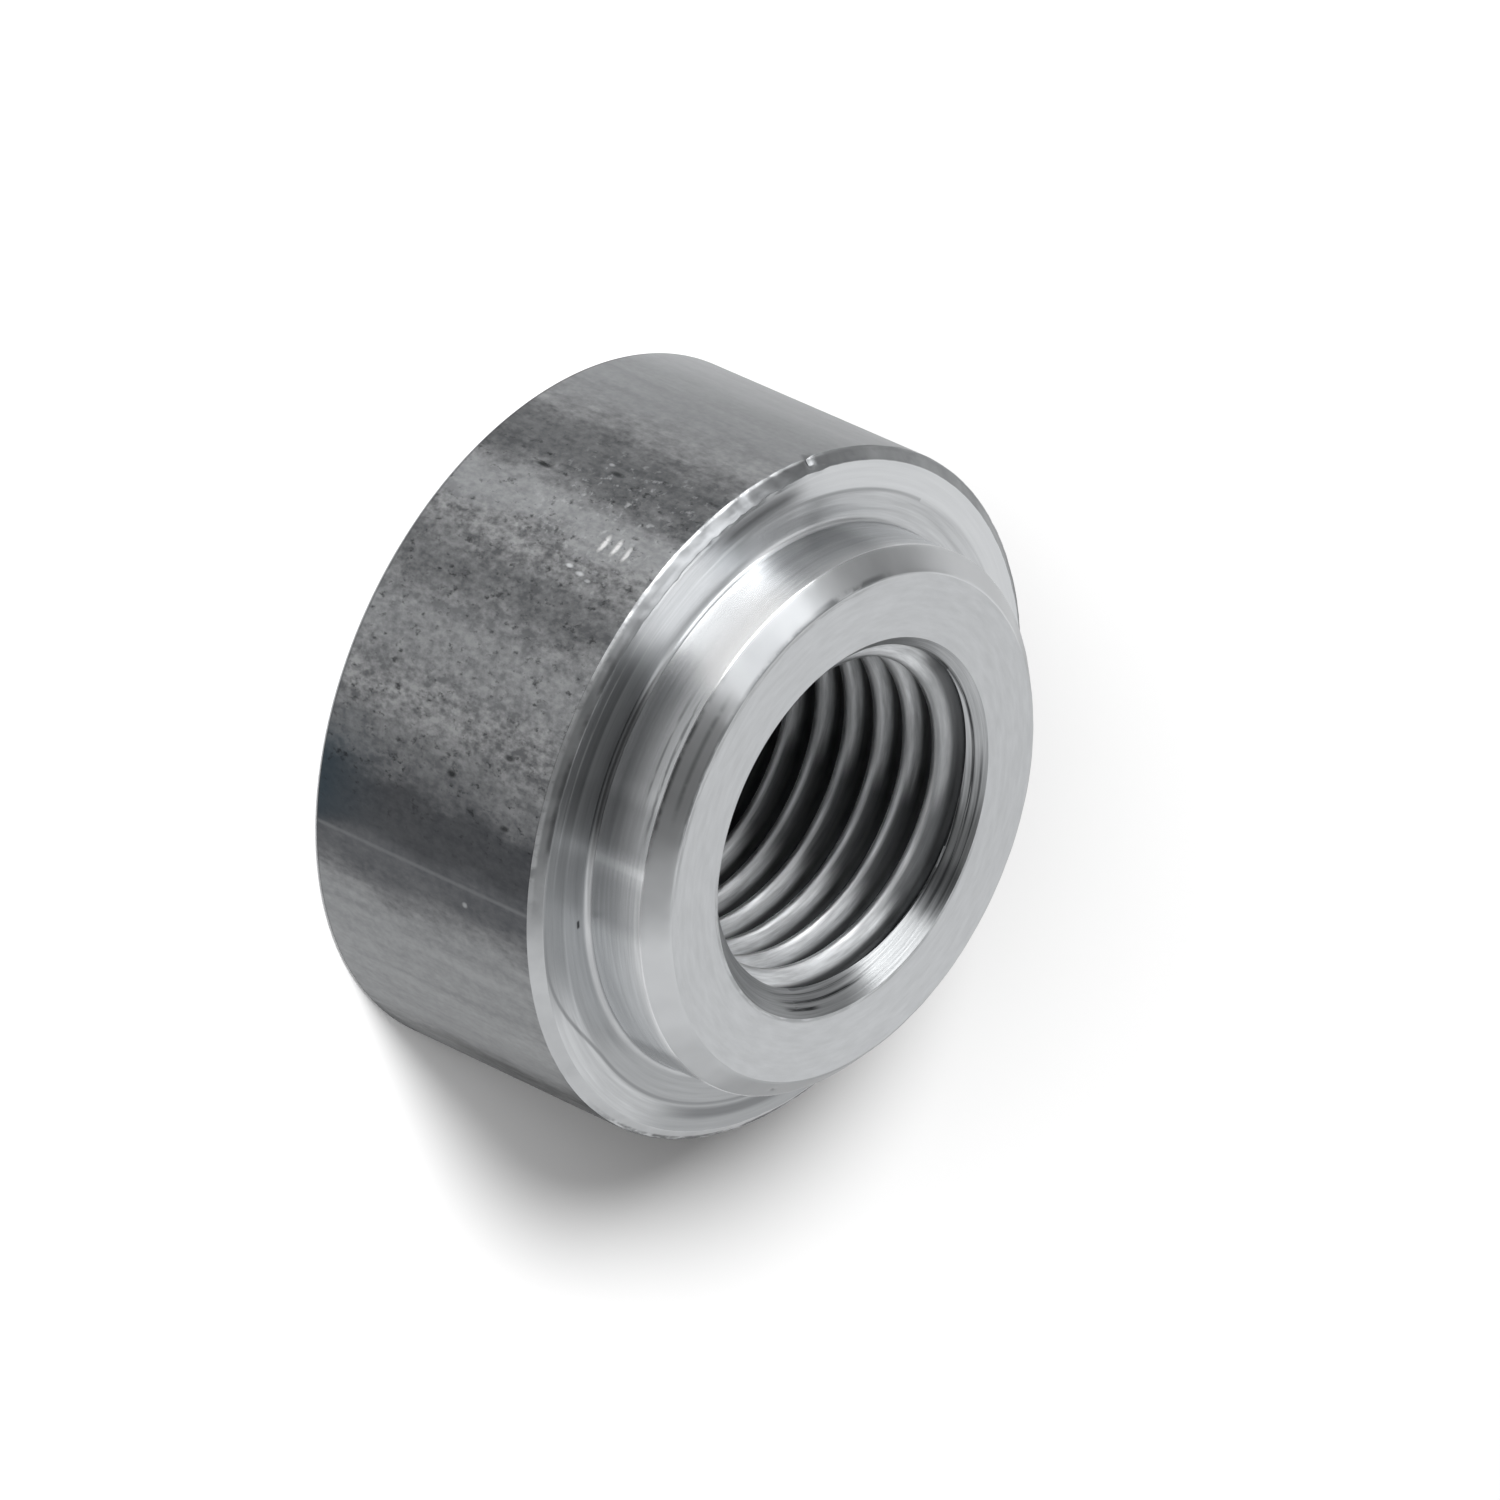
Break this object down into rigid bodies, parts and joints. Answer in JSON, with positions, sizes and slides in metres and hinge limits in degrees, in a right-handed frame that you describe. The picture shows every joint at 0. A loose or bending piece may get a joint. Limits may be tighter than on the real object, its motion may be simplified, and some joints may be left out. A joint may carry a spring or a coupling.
{
  "type": "weld bung",
  "caption": "Stepped steel weld bung turned from round bar, with a locating spigot, a flat shoulder and a countersunk, internally threaded through bore.",
  "frame": {"origin": "centre of the back face, on the surface that the bung stands on", "axes": "+Z along the bore, from the back face to the spigot's end"},
  "size_m": [0.025, 0.025, 0.0133],
  "materials": {
    "bung_steel": "mild steel, as drawn on the side and turned on the shoulder, spigot and countersinks"
  },
  "bodies": {
    "root": {"bung": "bung_steel"}
  },
  "joints": []
}
